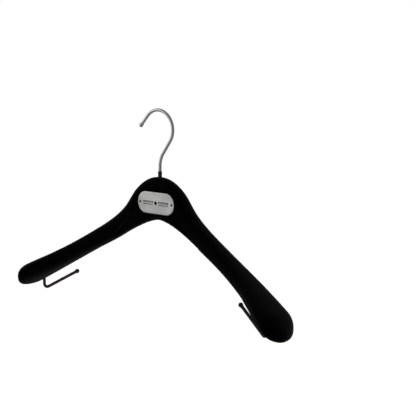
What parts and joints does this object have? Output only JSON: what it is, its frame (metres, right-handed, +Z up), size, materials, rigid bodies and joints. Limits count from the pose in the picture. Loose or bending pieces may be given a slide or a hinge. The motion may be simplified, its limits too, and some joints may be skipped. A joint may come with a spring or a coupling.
{
  "type": "clothes hanger",
  "caption": "Wide-shoulder velvet-flocked clothes hanger with a swivelling chromed wire hook, a recessed oval badge, and a bent strap bar under each arm.",
  "frame": {"origin": "where the hook rests on a rail: the inner top of its loop, straight above the swivel axis", "axes": "+X along the shoulders, -Y towards the badge side, +Z up along the hook's stem"},
  "size_m": [0.445, 0.0714, 0.251],
  "materials": {
    "velvet": "deep black flocked velvet over moulded plastic, soft grey sheen at grazing angles",
    "hook_chrome": "bright chromed steel wire",
    "black_sleeve": "satin black sleeve",
    "bush_plastic": "natural self-lubricating plastic",
    "steel": "zinc-plated steel",
    "badge_metal": "satin silver plate with an engraved border",
    "pin_metal": "dark drive pins",
    "bar_coat": "satin charcoal coated steel rod",
    "tip_plastic": "semi-gloss black moulded ball end"
  },
  "bodies": {
    "hook": {"hook": "hook_chrome", "hook_collar": "black_sleeve", "thrust_washer": "steel", "hook_retainer": "steel"},
    "hanger": {"front_shell": "velvet", "back_shell": "velvet", "hook_bush": "bush_plastic", "badge_plate": "badge_metal", "badge_pins": "pin_metal", "left_strap_bar": "bar_coat", "right_strap_bar": "bar_coat", "left_bar_tip": "tip_plastic", "right_bar_tip": "tip_plastic"}
  },
  "joints": [
    {"name": "hook_swivel", "type": "hinge", "parent": "hook", "child": "hanger", "pos_m": [0, 0, -0.08129], "axis": [0, 0, 1], "continuous": true}
  ]
}
